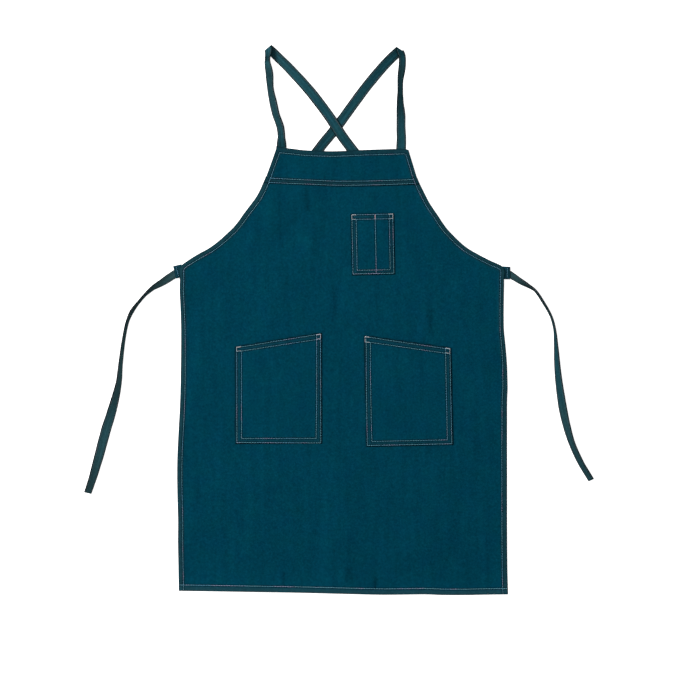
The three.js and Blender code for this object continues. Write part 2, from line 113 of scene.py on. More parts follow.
class Finish:
    def __init__(self, name, roughness):
        self.material = bpy.data.materials.new(name)
        self.material.use_nodes = True
        self.tree = self.material.node_tree
        self.shader = self.tree.nodes["Principled BSDF"]
        self.shader.inputs["Specular IOR Level"].default_value = 0.0
        self.shader.inputs["Roughness"].default_value = roughness

    def node(self, kind, settings=None, inputs=None, output=0):
        made = self.tree.nodes.new("ShaderNode" + kind)
        for setting, value in (settings or {}).items():
            setattr(made, setting, value)
        for socket, value in (inputs or {}).items():
            self.feed(made.inputs[socket], value)
        return Signal(self, made.outputs[output])

    def feed(self, socket, value):
        if isinstance(value, Signal):
            self.tree.links.new(value.socket, socket)
        else:
            socket.default_value = value

    def carried(self, name):  # a number that the cloth's points carry
        return self.node("Attribute", {"attribute_name": name}, None, 2)

    def scaled(self, place, scale, turn=0):
        turned = {"Vector": place, "Scale": scale, "Rotation": (0, 0, math.radians(turn))}
        return self.node("Mapping", None, turned)

    def noise(self, place, scale, detail=2.0):
        return self.node("TexNoise", None, {"Vector": place, "Scale": scale, "Detail": detail})

    def mix(self, share, first, second):
        return self.node("Mix", {"data_type": "RGBA"}, {0: share, 6: first, 7: second}, 2)

    def shade(self, colour, strength):  # multiplies a colour by a number
        return self.node("VectorMath", {"operation": "SCALE"}, {0: colour, "Scale": strength})

    def bump(self, height, distance, strength=1.0):
        steps = {"Height": height, "Distance": distance, "Strength": strength}
        return self.node("Bump", None, steps)


# Finishes, with colours in linear light
drill = {
    "colour": (0.0004, 0.0331, 0.0658, 1),
    "greener": (0.0004, 0.0405, 0.0580, 1),
    "worn": (0.0060, 0.0560, 0.0840, 1),
    # deep: the near-black painted shade mixed in beside seams, along each edge and beside sewn-on cloth
    "deep": (0.0022, 0.0080, 0.0130, 1),
    # how wide and how strong the painted shade along each edge is
    "edgeShadeWidth": 2.4 * mm,
    "edgeShadeShare": 0.55,
    "hem": (0.0078, 0.0365, 0.0480, 1),
    # seamWidth and seamShare: how far and how strongly the painted shade beside a seam reaches
    "seamWidth": 3.8 * mm,
    "seamShare": 0.75,
    "slubScale": (1100, 60, 60),
    "slubShare": 0.2,
    "twillPitch": 0.9 * mm,
    "twillAngle": 63,
    "roughness": 1.0,
}
tape = {
    "colour": (0.0082, 0.0425, 0.0610, 1),
    "greener": (0.0082, 0.0465, 0.0550, 1),
    "worn": (0.0220, 0.0620, 0.0760, 1),
    # deep: the tape's painted shade, mixed in along its edges and beside its stitching
    "deep": (0.0010, 0.0060, 0.0080, 1),
    # how wide and how strong the painted shade along each edge is
    "edgeShadeWidth": 2.2 * mm,
    "edgeShadeShare": 0.95,
    "hem": (0.0200, 0.0460, 0.0510, 1),
    # seamWidth and seamShare: how far and how strongly the painted shade beside a seam reaches
    "seamWidth": 1.8 * mm,
    "seamShare": 0.25,
    "slubScale": (300, 9, 9),
    "slubShare": 1.3,
    "twillPitch": 1.0 * mm,
    "twillAngle": 58,
    "roughness": 1.0,
}
# each thread's dye changes along it, from one colour through the next to the last
threads = {
    "seamThread": [(0.15, 0.42, 0.62, 1), (0.17, 0.44, 0.53, 1), (0.36, 0.41, 0.60, 1)],
    "tapeThread": [(0.10, 0.13, 0.15, 1), (0.12, 0.14, 0.14, 1), (0.22, 0.17, 0.19, 1)],
    "barTackThread": [(0.50, 0.55, 0.60, 1), (0.58, 0.58, 0.60, 1), (0.66, 0.56, 0.64, 1)],
    "dividerTackThread": [(0.55, 0.42, 0.48, 1), (0.62, 0.45, 0.50, 1), (0.68, 0.48, 0.52, 1)],
}


def clothFinish(name, look, alongTape=False):
    finish = Finish(name, look["roughness"])
    place = finish.node("TexCoord", None, None, 3)
    if alongTape:
        place = finish.node("CombineXYZ", None, {"X": finish.carried("wide"), "Y": finish.carried("run")})
    edge, seam, pale, sewnOnShade, hemmed = map(finish.carried, ("edge", "seam", "pale", "sewnOnShade", "hemmed"))

    # yarns: the twill's slanting ribs, uneven in thickness, and slubs along the warp
    ribs = finish.scaled(place, (2 * math.pi / look["twillPitch"],) * 3, look["twillAngle"])
    across = finish.node("SeparateXYZ", None, {"Vector": ribs})
    sway = finish.noise(place, 260, 3)
    twill = (across + sway * 5).wave() * 0.5 + 0.5
    slub = finish.noise(finish.scaled(place, look["slubScale"]), 1, 3)
    speck = finish.noise(place, 620, 4)

    # dye: soft clouds, and faint streaks along the warp
    clouds = finish.noise(place, 13, 3)
    mottle = finish.noise(place, 95, 4)
    streaks = finish.noise(finish.scaled(place, (70, 7, 7)), 1, 3)
    grain = finish.noise(place, 260, 2)
    hue = finish.noise(place, 30, 2)
    tone = (
        0.09
        + clouds * 0.24
        + mottle * 0.28
        + streaks * 0.38
        + grain * 0.78
        + speck * 0.12
        + (slub - 0.5) * look["slubShare"]
        + (twill - 0.5) * 0.12
        # pale: tone the cloth carries, with the painted light and shade of the body's creases and along the
        # straps, and the hems' and loops' own tone
        + pale
    )

    # colour: rubbed paler in specks, with painted shade beside a seam, along each edge and beside sewn-on
    # cloth
    # painted shade along each edge of the cloth
    edgeShade = 1 - edge.between(0.5 * mm, look["edgeShadeWidth"])
    # painted shade beside each row of stitching
    sunk = 1 - seam.between(0.6 * mm, look["seamWidth"])
    rubbed = grain.between(0.5, 0.85) * 0.16
    dyed = finish.mix(hue, look["colour"], look["greener"])
    dyed = finish.mix(hemmed, dyed, look["hem"])
    colour = finish.shade(finish.mix(rubbed, dyed, look["worn"]), tone)
    colour = finish.mix(sunk * look["seamShare"], colour, look["deep"])
    colour = finish.mix(edgeShade * look["edgeShadeShare"], colour, look["deep"])
    # painted shade on the cloth beside the band and the pockets sewn onto it
    colour = finish.mix(sewnOnShade.between(0.5, 0.95) * 0.8, colour, look["deep"])
    finish.feed(finish.shader.inputs["Base Color"], colour)

    # relief: yarns, and puckers drawn in by the stitching
    pull = 1 - seam.between(1.0 * mm, 9.0 * mm)
    pucker = finish.noise(place, 150, 2) * pull
    height = twill * 0.16 + slub * 0.10 + speck * 0.14 + pucker * 1.1
    finish.feed(finish.shader.inputs["Normal"], finish.bump(height, 0.7 * mm, 0.8))
    return finish.material


def threadFinish(name):
    first, second, third = threads[name]
    finish = Finish(name, 0.75)
    place = finish.node("TexCoord", None, None, 3)
    twist = finish.noise(place, 1400, 2)
    dye = finish.noise(place, 16, 2)
    later = finish.noise(place, 23, 2)
    colour = finish.mix(dye.between(0.35, 0.6), first, second)
    colour = finish.mix(later.between(0.52, 0.66), colour, third)
    colour = finish.shade(colour, twist * 0.5 + 0.75)
    finish.feed(finish.shader.inputs["Base Color"], colour)
    finish.feed(finish.shader.inputs["Normal"], finish.bump(twist, 0.15 * mm))
    return finish.material


drillCloth = clothFinish("cottonDrill", drill)
strapTape = clothFinish("strapTape", tape, True)
seamThread = threadFinish("seamThread")
tapeThread = threadFinish("tapeThread")
barThread = threadFinish("barTackThread")
dividerThread = threadFinish("dividerTackThread")
print("finishes made")


# Small tools
def clamp(value, low, high):
    return min(max(value, low), high)


def lerp(first, second, share):
    return first + (second - first) * share


def smoothStep(value, low, high):
    share = clamp((value - low) / (high - low), 0, 1)
    return share * share * (3 - 2 * share)


def wobble(x, y, fineness, seed=0.0):
    return noise.noise(Vector((x * fineness, y * fineness, seed)))


def smoothTable(rows):
    # reads (place, value) rows at any place between them, along a smooth curve
    places = [row[0] for row in rows]
    values = [row[1] for row in rows]
    last = len(rows) - 1
    slopes = []
    for i in range(len(rows)):
        low, high = max(i - 1, 0), min(i + 1, last)
        slopes.append((values[high] - values[low]) / (places[high] - places[low]))

    def at(place):
        i = int(clamp(bisect.bisect_right(places, place) - 1, 0, last - 1))
        span = places[i + 1] - places[i]
        t = clamp((place - places[i]) / span, 0, 1)
        rise = values[i + 1] - values[i]
        start, end = slopes[i] * span, slopes[i + 1] * span
        bend = (start + end - 2 * rise) * t + (3 * rise - 2 * start - end)
        return values[i] + t * (start + t * bend)

    return at


def table(rows):
    # one number, or (place, value) rows
    return smoothTable(rows if isinstance(rows, list) else [(0, rows), (1, rows)])


def nearTree(places):
    near = KDTree(len(places))
    for i, (x, y) in enumerate(places):
        near.insert((x, y, 0), i)
    near.balance()
    return near


def carry(shape, *names):
    # the numbers that a cloth's points carry for its finish
    return [shape.verts.layers.float.new(name) for name in names]


def addPiece(name, shape, finish, node=None):
    mesh = bpy.data.meshes.new(name)
    shape.to_mesh(mesh)
    shape.free()
    mesh.materials.append(finish)
    mesh.polygons.foreach_set("use_smooth", [True] * len(mesh.polygons))
    piece = bpy.data.objects.new(name, mesh)
    bpy.context.collection.objects.link(piece)
    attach(piece, "root")
    if node:
        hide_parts(node)
    return piece


def flatArea(shape):
    return sum(face.calc_area() for face in shape.faces if face.normal.z > 0.5)


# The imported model's own pieces, read for their outlines and heights
allSides = ("left", "right", "bottom", "top")
outline = {
    "steps": 600,
    "rowSteps": 900,
    "upright": 0.1,  # a side face's normal rises less than this
    "level": 0.93,  # the bottom's and the top's normals run up the sheet by at least this
    "insets": (0.002, 0.01, 0.03, 0.08),
    "reach": 3,  # steps each way that an edge's direction is taken from
    "slack": 0.25 * mm,  # how much nearer to its edge a row may come in a hollow
    "seamStep": 0.8 * mm,
}


def packedShape(node):
    shape = bmesh.new()
    shape.from_mesh(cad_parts[node].data)
    bmesh.ops.remove_doubles(shape, verts=shape.verts, dist=1e-5)
    shape.normal_update()
    return shape


class Sheet:
    # a packed sheet's four edges and the places between them, which a share across and a share
    # up give; trim takes some millimetres off an edge, or adds them where it is below nothing
    def __init__(self, node, trim):
        self.trim = {side: table(trim.get(side, 0)) for side in allSides}
        shape = packedShape(node)
        self.tree = BVHTree.FromBMesh(shape)
        sides = {side: {} for side in allSides}
        for face in shape.faces:
            normal = face.normal
            if abs(normal.z) > outline["upright"]:
                continue
            if abs(normal.y) > outline["level"]:
                side = "top" if normal.y > 0 else "bottom"
            else:
                side = "right" if normal.x > 0 else "left"
            for vert in face.verts:
                sides[side][(round(vert.co.x, 5), round(vert.co.y, 5))] = True
        shape.free()
        self.left = self.edgeCurve(sides["left"], 1)
        self.right = self.edgeCurve(sides["right"], 1)
        self.bottom = self.edgeCurve(sides["bottom"], 0)
        self.top = self.edgeCurve(sides["top"], 0)
        self.width = abs(self.right(0.5) - self.left(0.5))
        self.height = abs(self.top(0.5) - self.bottom(0.5))
        self.edges = {side: nearTree(self.edgeLine(side)) for side in allSides}

    def edgeCurve(self, places, along):
        # from places on an edge to a curve over the share along it
        line = sorted(places, key=lambda place: place[along])
        first, last = line[0][along], line[-1][along]
        rows = []
        for place in line:
            share = (place[along] - first) / (last - first)
            if not rows or share - rows[-1][0] > 1e-4:
                rows.append((share, place[1 - along]))
        return smoothTable(rows)

    def spot(self, u, v):
        wide = mm / abs(self.right(v) - self.left(v))
        high = mm / self.height
        cut = {side: at(v if side in ("left", "right") else u) for side, at in self.trim.items()}
        u, v = (
            lerp(cut["left"] * wide, 1 - cut["right"] * wide, u),
            lerp(cut["bottom"] * high, 1 - cut["top"] * high, v),
        )
        return (
            lerp(self.left(v), self.right(v), u),
            lerp(self.bottom(u), self.top(u), v),
        )

    def edgeLine(self, side, count=outline["steps"]):
        shares = [i / count for i in range(count + 1)]
        if side in ("left", "right"):
            return [self.spot(0 if side == "left" else 1, share) for share in shares]
        return [self.spot(share, 0 if side == "bottom" else 1) for share in shares]

    def inside(self, x, y, sides=allSides):
        return min(self.edges[side].find((x, y, 0))[2] for side in sides)

    def packedTop(self, u, v):
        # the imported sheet's top, read a little inside its edges
        for inset in outline["insets"]:
            x, y = self.spot(clamp(u, inset, 1 - inset), clamp(v, inset, 1 - inset))
            hit = self.tree.ray_cast(Vector((x, y, 1)), Vector((0, 0, -1)))
            if hit[0] is not None:
                return hit[0].z
        return None

    def insetRow(self, side, inset, clear):
        # a row along the inside of one edge, in millimetres: inset is how far in, one number or
        # (share along the edge, inset) rows, and clear is how far it keeps from the other edges
        line = self.edgeLine(side, outline["rowSteps"])
        turned = {"left": 1, "right": -1, "bottom": -1, "top": 1}[side]
        depthAt = table(inset)
        row = []
        for i, (x, y) in enumerate(line):
            depth = depthAt(i / (len(line) - 1)) * mm
            reach = outline["reach"]
            before, after = line[max(i - reach, 0)], line[min(i + reach, len(line) - 1)]
            dx, dy = after[0] - before[0], after[1] - before[1]
            size = math.hypot(dx, dy)
            place = (x + turned * dy / size * depth, y - turned * dx / size * depth)
            if self.edges[side].find((*place, 0))[2] < depth - outline["slack"]:
                continue
            if any(self.edges[other].find((*place, 0))[2] < far * mm for other, far in clear.items()):
                continue
            row.append(place)
        return row


def resample(places, step):
    # the same line in equal steps
    lengths = [0.0]
    for (x0, y0), (x1, y1) in zip(places, places[1:]):
        lengths.append(lengths[-1] + math.hypot(x1 - x0, y1 - y0))
    count = max(1, round(lengths[-1] / step))
    even = []
    i = 0
    for k in range(count + 1):
        goal = lengths[-1] * k / count
        while i < len(lengths) - 2 and lengths[i + 1] < goal:
            i += 1
        share = (goal - lengths[i]) / max(lengths[i + 1] - lengths[i], 1e-9)
        even.append(tuple(lerp(a, b, share) for a, b in zip(places[i], places[i + 1])))
    return even


def seamTree(rows):
    return nearTree([place for row in rows for place in resample(row, outline["seamStep"])])


def cellPlaces(length, insets, step):
    # shares of a length: close together by its two ends, even in between
    middle = length - 2 * insets[-1]
    count = max(1, round(middle / step))
    between = [insets[-1] + middle * k / count for k in range(1, count)]
    return [place / length for place in [*insets, *between, *(length - i for i in reversed(insets))]]


# How a hem's colour fades inwards, how far a sewn-on piece shades, the least height, the rim's round
clothEdge = {"hemFade": (4.5 * mm, 15 * mm), "sewnOnShadeReach": 5 * mm, "lowest": 0.1 * mm, "round": 0.35 * mm}


def clothPiece(sheet, look, height, thickness, rows, over=(), pale=None):
    # a closed cloth: a grid over the sheet, a second layer under it and a rounded rim
    insets = [inset * mm for inset in look["edgeCells"]]
    columns = cellPlaces(sheet.width, insets, look["step"][0])
    lines = cellPlaces(sheet.height, insets, look["step"][1])
    shape = bmesh.new()
    bmesh.ops.create_grid(shape, x_segments=len(columns) - 1, y_segments=len(lines) - 1, size=0.5)
    edge, seam, paler, sewnOnShade, hemmed = carry(shape, "edge", "seam", "pale", "sewnOnShade", "hemmed")
    near = seamTree(rows)
    for vert in shape.verts:
        u = columns[round((vert.co.x + 0.5) * (len(columns) - 1))]
        v = lines[round((vert.co.y + 0.5) * (len(lines) - 1))]
        vert.co = (*sheet.spot(u, v), sheet.packedTop(u, v))
    for _ in range(look["smoothing"]):
        bmesh.ops.smooth_vert(shape, verts=shape.verts, factor=0.5, use_axis_z=True)
    for vert in shape.verts:
        x, y, z = vert.co
        vert[edge] = sheet.inside(x, y)
        vert[seam] = near.find((x, y, 0))[2]
        vert.co.z = height(x, y, z, vert[edge], vert[seam])
        vert[hemmed] = look["hemWear"] * (1 - smoothStep(vert[edge], *clothEdge["hemFade"]))
        vert[paler] = pale(x, y) if pale else 0
        # the shade beside the pieces that are sewn on
        reach = min((other.inside(x, y) for other in over), default=1)
        vert[sewnOnShade] = max(0, 1 - reach / clothEdge["sewnOnShadeReach"])
    made = bmesh.ops.extrude_face_region(shape, geom=shape.faces[:], use_keep_orig=True)
    for vert in made["geom"]:
        if isinstance(vert, bmesh.types.BMVert):
            x, y, z = vert.co
            vert.co.z = max(z - thickness(x, y), clothEdge["lowest"])
    bmesh.ops.recalc_face_normals(shape, faces=shape.faces[:])
    shape.normal_update()
    rim = []
    for line in shape.edges:
        if sorted(abs(face.normal.z) > 0.5 for face in line.link_faces) == [False, True]:
            rim.append(line)
    shaping = {"affect": "EDGES", "offset_type": "OFFSET", "segments": 2, "profile": 0.5, "material": -1}
    bmesh.ops.bevel(shape, geom=rim, offset=clothEdge["round"], **shaping)
    shape.normal_update()
    return shape


# Stitching: rows of single stitches, and bar tacks
sewing = {
    "pitch": 3.3 * mm,
    "length": 2.7 * mm,
    "width": 0.66 * mm,
    "thick": 0.5 * mm,
    "raised": 0.28,  # how much of its own thickness a stitch's middle stands above the cloth
    "drift": 0.14 * mm,
    "drop": 1.5 * mm,  # a stitch that would have to fall further than this is left out
}
tacks = {"pitch": 0.5 * mm, "width": 0.5 * mm, "thick": 0.7 * mm, "slip": 0.12 * mm}


def threadTemplate():
    shape = bmesh.new()
    bmesh.ops.create_uvsphere(shape, u_segments=6, v_segments=4, radius=0.5)
    bmesh.ops.rotate(shape, verts=shape.verts, matrix=Matrix.Rotation(math.pi / 2, 3, "Y"))
    mesh = bpy.data.meshes.new("stitchShape")
    shape.to_mesh(mesh)
    shape.free()
    return mesh


stitchShape = threadTemplate()


def layStitch(shape, start, end, normal, width, thick):
    along = end - start
    length = along.length
    along.normalize()
    side = normal.cross(along).normalized()
    up = along.cross(side)
    middle = (start + end) / 2 + up * thick * sewing["raised"]
    placed = Matrix((along * length, side * width, up * thick)).transposed().to_4x4()
    placed.translation = middle
    stitchShape.transform(placed)
    shape.from_mesh(stitchShape)
    stitchShape.transform(placed.inverted())


def seat(tree, x, y):
    hit = tree.ray_cast(Vector((x, y, 1)), Vector((0, 0, -1)))
    return (hit[0], hit[1]) if hit[0] is not None else (None, None)


def sewRows(shape, tree, rows, seed, broad=()):
    # broad makes a row's stitches wider than the others
    for number, row in enumerate(rows):
        width = sewing["width"] * (broad[number] if number < len(broad) else 1)
        fine = resample(row, sewing["pitch"])
        for i, (a, b) in enumerate(zip(fine, fine[1:])):
            share = sewing["length"] / sewing["pitch"] + 0.05 * wobble(i * 0.7, number + seed, 1.3)
            drift = sewing["drift"] * wobble(i * 0.31, number + seed, 1.0, 4)
            dx, dy = b[0] - a[0], b[1] - a[1]
            size = math.hypot(dx, dy) or 1
            ox, oy = -dy / size * drift, dx / size * drift
            start, normal = seat(tree, a[0] + ox, a[1] + oy)
            end, _ = seat(tree, a[0] + dx * share + ox, a[1] + dy * share + oy)
            if start is None or end is None or abs(start.z - end.z) > sewing["drop"]:
                continue
            layStitch(shape, start, end, normal, width, sewing["thick"])


def sewTack(shape, tree, start, end, breadth):
    # a bar tack: close satin stitches square to its line
    dx, dy = end[0] - start[0], end[1] - start[1]
    size = math.hypot(dx, dy)
    count = round(size / tacks["pitch"])
    sx, sy = -dy / size * breadth / 2, dx / size * breadth / 2
    for k in range(count + 1):
        x, y = start[0] + dx * k / count, start[1] + dy * k / count
        slip = tacks["slip"] * wobble(k * 0.9, x * 50, 1.0, 7)
        low, normal = seat(tree, x - sx + slip, y - sy)
        high, _ = seat(tree, x + sx + slip, y + sy)
        if low is None or high is None:
            continue
        layStitch(shape, low, high, normal, tacks["width"], tacks["thick"])


def sewnPiece(name, node, shape, rows, seed, broad=()):
    # a cloth and the stitching through it
    tree = BVHTree.FromBMesh(shape)
    area = flatArea(shape)
    cloth = addPiece(name + "_cloth", shape, drillCloth, node)
    stitches = bmesh.new()
    sewRows(stitches, tree, rows, seed, broad)
    threads = [addPiece(name + "_stitching", stitches, seamThread)]
    return {"cloth": cloth, "tree": tree, "area": area, "threads": threads}


# The body
body = {
    "flat": (0.665, 0.836),
    "step": (4.2 * mm, 4.2 * mm),
    "smoothing": 26,
    "edgeCells": [0, 0.9, 2.4, 4.5, 6.4, 7.5, 8.6, 9.7, 10.8, 12, 14.5],
    "leftRow": [(0, 9.6), (0.45, 9.4), (0.6, 8.4), (0.72, 7.6), (0.8, 9.2), (1, 10.6)],
    "rightRow": [(0, 10.4), (0.45, 10.2), (0.6, 8), (0.72, 7.2), (0.8, 8.2), (0.9, 8.8), (1, 8.6)],
    "bottomRow": 11.9,
    "rowClear": 1.2,
    "broadRows": (1, 1, 1.5),
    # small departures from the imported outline, in millimetres (less than nothing is more cloth)
    "trim": {
        "left": [
            (0, -1.7), (0.05, -1.5), (0.12, -1.1), (0.17, 0), (0.62, 0), (0.69, -1.1), (0.73, -1.9),
            (0.77, 0), (0.8, 1.0), (0.83, 1.5), (0.865, 0.6), (0.89, 0), (0.92, -0.9), (0.95, 0),
            (0.98, -1.2), (1, -1),
        ],
        "right": [
            (0, -1.8), (0.05, -0.9), (0.12, -0.6), (0.3, -0.5), (0.44, 0), (0.47, -0.6), (0.49, -1.9),
            (0.52, -2.7), (0.55, -3.2), (0.58, -2.8), (0.605, -1.8), (0.64, 0), (0.77, 0), (0.81, 1.0),
            (0.86, 0.6), (0.9, -0.2), (1, -0.5),
        ],
        "bottom": [
            (0, -0.8), (0.25, -1.1), (0.5, -1.5), (0.62, -1.7), (0.7, -0.8), (0.75, -0.4), (0.8, -1.8),
            (0.87, -2.3), (0.93, -1.8), (1, -1.4),
        ],
    },
    "cloth": 1.2 * mm,
    "hemCloth": 2.4 * mm,
    "hemEnd": (9.8 * mm, 11.6 * mm),  # where the hem's second layer ends
    "hemDip": 0.45 * mm,  # how far the front sinks beside that
    "rolled": 0.5 * mm,
    "waves": 0.55 * mm,
    "pucker": 0.35 * mm,
    "hemWear": 0.95,
    "hemPale": 0.26,
    # the bottom hem's paler shade: how much of it, and between which heights it fades
    "hemFades": [(0.8, 7 * mm, 13 * mm), (0.2, 14 * mm, 50 * mm)],
    "creaseHeight": 4 * mm,
    "creaseEnds": ((-0.2, 0.12), (0.88, 1.2)),  # shares of a crease's length where it comes and goes
    "creaseSway": 2.0,
    "creaseFall": 1.6,
    # soft creases: both ends and half the breadth in millimetres, and how much paler (or darker), as
    # painted light on a raised crease and painted shade in a sunk one
    "creases": [
        (-125, 154, -125, 52, 8, -0.15),
        (-71, 158, -71, 112, 6, -0.24),
        (-55, 80, -55, 24, 8, -0.12),
        (-17, -38, -16, -98, 4.5, -0.18),
        (-2, -58, -2, -94, 5, 0.08),
        (177, -84, 177, -134, 8, -0.18),
        (161, -76, 161, -134, 7, 0.09),
        (22, -26, 22, -52, 7, -0.12),
        (56, 148, 72, 132, 7, -0.12),
        (-74, 58, -74, 28, 9, 0.15),
        (-180, 70, -188, 40, 10, 0.12),
        (-162, 74, -170, 44, 8, -0.1),
        (-32, -492, -44, -632, 15, 0.09),
        (12, -540, 14, -612, 7, -0.09),
        (-2, -606, -2, -634, 7, 0.16),
        (11, -602, 13, -634, 8, -0.18),
        (66, -622, 66, -644, 2.8, -0.6),
        (-118, -612, -118, -640, 3.2, -0.3),
        (-128, -612, -128, -638, 5, 0.12),
        (-157, -396, -157, -420, 9, 0.09),
        (184, -386, 184, -466, 13, 0.06),
        (236, -486, 218, -534, 6, -0.06),
        (-152, 156, -158, 134, 6, -0.08),
    ],
}
# The pockets: patches with a turned edge. Each side's rows are given by their insets, and the
# mouth has a third, where the lower bar tack is.
pockets = {
    "pen_pocket": {
        "flat": (0.090, 0.137),
        "trim": {"left": -0.6, "right": 3.4, "top": 3.0},
        "left": (1.7, 10.1),
        "right": (1.8, 8.9),
        "bottom": (2.0, 9.1),
        "top": (1.9, 11.0, 11.0),
        "divider": 0.565,
        "seed": 30,
    },
    "hip_pocket_left": {
        "flat": (0.175, 0.226),
        "trim": {"top": [(0, 0.8), (0.12, 1.8), (0.5, 2.1), (1, 2.6)]},
        "left": (3.3, 12.6),
        "right": (2.0, [(0, 11.4), (0.4, 10.0), (1, 9.8)]),
        "bottom": ([(0, 1.9), (1, 0.9)], 10.0),
        "top": (2.3, [(0, 10.4), (0.4, 10.9), (1, 12.0)], 10.8),
        "seed": 50,
    },
    "hip_pocket_right": {
        "flat": (0.178, 0.230),
        "trim": {"bottom": -0.8, "top": 2.6},
        "left": ([(0, 1.7), (0.6, 2.4), (1, 4.1)], [(0, 10.8), (0.6, 10.8), (1, 12.6)]),
        "right": (2.3, 11.0),
        "bottom": (1.7, 9.7),
        "top": ([(0, 2.0), (0.3, 2.6), (1, 2.9)], 12.0, 12.0),
        "seed": 70,
    },
}
bodySheet = Sheet("apron_body", body["trim"])
bodyRows = [
    bodySheet.insetRow("left", body["leftRow"], {"bottom": body["rowClear"]}),
    bodySheet.insetRow("right", body["rightRow"], {"bottom": body["rowClear"]}),
    bodySheet.insetRow("bottom", body["bottomRow"], {side: body["rowClear"] for side in ("left", "right")}),
]
# the band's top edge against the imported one, in millimetres
bandTop = [(0, -5), (0.06, -3), (0.12, -2), (0.22, -0.5), (0.4, -1), (0.66, -4), (0.94, -3.4), (1, -0.8)]
bandSheet = Sheet("bib_band", {"top": bandTop})
pocketSheets = {name: Sheet(name, look["trim"]) for name, look in pockets.items()}

relief = {"pull": 5 * mm, "grooveWidth": 0.9 * mm, "groove": 0.3 * mm}


def clothRelief(x, y, seam, waves, pucker, seed):
    # slow waves, puckers drawn in by a seam, and the seam's own groove
    slow = wobble(x, y * 0.55, 11, seed) + 0.5 * wobble(x, y * 0.8, 27, seed + 3)
    drawn = math.exp(-seam / relief["pull"])
    quick = wobble(x, y, 115, seed + 8) + 0.6 * wobble(x, y, 210, seed + 11)
    groove = math.exp(-((seam / relief["grooveWidth"]) ** 2))
    return waves * slow + pucker * quick * drawn - relief["groove"] * groove


def creased(x, y):
    # how far the cloth is raised and paled (above nothing) or sunk and darkened at a place; the paling is
    # painted light, the darkening painted shade
    total = 0.0
    (start, full), (fading, end) = body["creaseEnds"]
    for x0, y0, x1, y1, breadth, pale in body["creases"]:
        dx, dy = x1 - x0, y1 - y0
        along = ((x / mm - x0) * dx + (y / mm - y0) * dy) / (dx * dx + dy * dy)
        if not start < along < end:
            continue
        off = ((x / mm - x0) * dy - (y / mm - y0) * dx) / math.hypot(dx, dy)
        off += body["creaseSway"] * wobble(x, y, 22, 40)
        ends = smoothStep(along, start, full) * (1 - smoothStep(along, fading, end))
        total += pale * math.exp(-((off / breadth) ** 2) * body["creaseFall"]) * ends
    return total


def bodyHeight(x, y, z, edge, seam):
    rolled = body["rolled"] * (1 - smoothStep(edge, 0, 1.6 * mm))
    hemStep = body["hemDip"] * smoothStep(edge, 9.8 * mm, 12 * mm)
    hemStep -= body["hemDip"] * smoothStep(edge, 12 * mm, 34 * mm)
    waves = body["waves"] * smoothStep(edge, 0, 30 * mm)
    uneven = clothRelief(x, y, seam, waves, body["pucker"], 0)
    return z - rolled - hemStep + uneven + creased(x, y) * body["creaseHeight"]


# painted light on raised creases and painted shade in sunk ones, with the bottom hem paler
def bodyPale(x, y):
    below = bodySheet.inside(x, y, ("bottom",))
    worn = sum(share * (1 - smoothStep(below, low, high)) for share, low, high in body["hemFades"])
    return creased(x, y) + body["hemPale"] * worn


def hemThickness(sheet, sides, look):
    # two layers of cloth in the hems of these sides, one elsewhere
    def at(x, y):
        return lerp(look["hemCloth"], look["cloth"], smoothStep(sheet.inside(x, y, sides), *look["hemEnd"]))

    return at


bodyThickness = hemThickness(bodySheet, ("left", "right", "bottom"), body)
sewnOn = [bandSheet, *pocketSheets.values()]
bodyShape = clothPiece(bodySheet, body, bodyHeight, bodyThickness, bodyRows, sewnOn, bodyPale)
bodyMade = sewnPiece("body", "apron_body", bodyShape, bodyRows, 1, body["broadRows"])
print("body made", round(bodyMade["area"], 4))

# The bib's band
band = {
    "flat": (0.320, 0.075),
    "step": (3.4 * mm, 3.0 * mm),
    "smoothing": 8,
    "edgeCells": [0, 0.9, 2.0, 4.5, 7.6, 8.7, 9.5, 10.3, 11.5, 14],
    "leftRow": 9.2,
    "rightRow": 7.8,
    "topRow": [(0, 12.6), (0.08, 10.8), (0.4, 10.2), (0.9, 10.6), (1, 9.4)],
    "topClear": (10.4, 9.4),
    "lowerRows": ([(0, 0.9), (0.4, 1.6), (1, 1.8)], 9.6),
    "rolled": 0.4 * mm,
    "waves": 0.3 * mm,
    "pucker": 0.3 * mm,
    "hemWear": 0.8,
    "hemPale": -0.12,
    "pale": -0.03,
}
bandHems = ("left", "right", "top")
bandSides = {"left": band["leftRow"], "right": band["rightRow"]}
bandRows = [
    bandSheet.insetRow("left", band["leftRow"], {"top": band["topClear"][0]}),
    bandSheet.insetRow("right", band["rightRow"], {"top": band["topClear"][1]}),
    bandSheet.insetRow("top", band["topRow"], bandSides),
    *(bandSheet.insetRow("bottom", inset, bandSides) for inset in band["lowerRows"]),
]


def bandHeight(x, y, z, edge, seam):
    rolled = band["rolled"] * (1 - smoothStep(edge, 0, 1.4 * mm))
    waves = band["waves"] * smoothStep(edge, 0, 25 * mm)
    return z - rolled + clothRelief(x, y, seam, waves, band["pucker"], 20)


def bandPale(x, y):
    edge = bandSheet.inside(x, y, bandHems)
    return band["pale"] + band["hemPale"] * (1 - smoothStep(edge, 6 * mm, 12 * mm))


bandThickness = hemThickness(bandSheet, bandHems, body)
bandShape = clothPiece(bandSheet, band, bandHeight, bandThickness, bandRows, pale=bandPale)
bandMade = sewnPiece("bib_band", "bib_band", bandShape, bandRows, 6)
print("bib band made", round(bandMade["area"], 4))

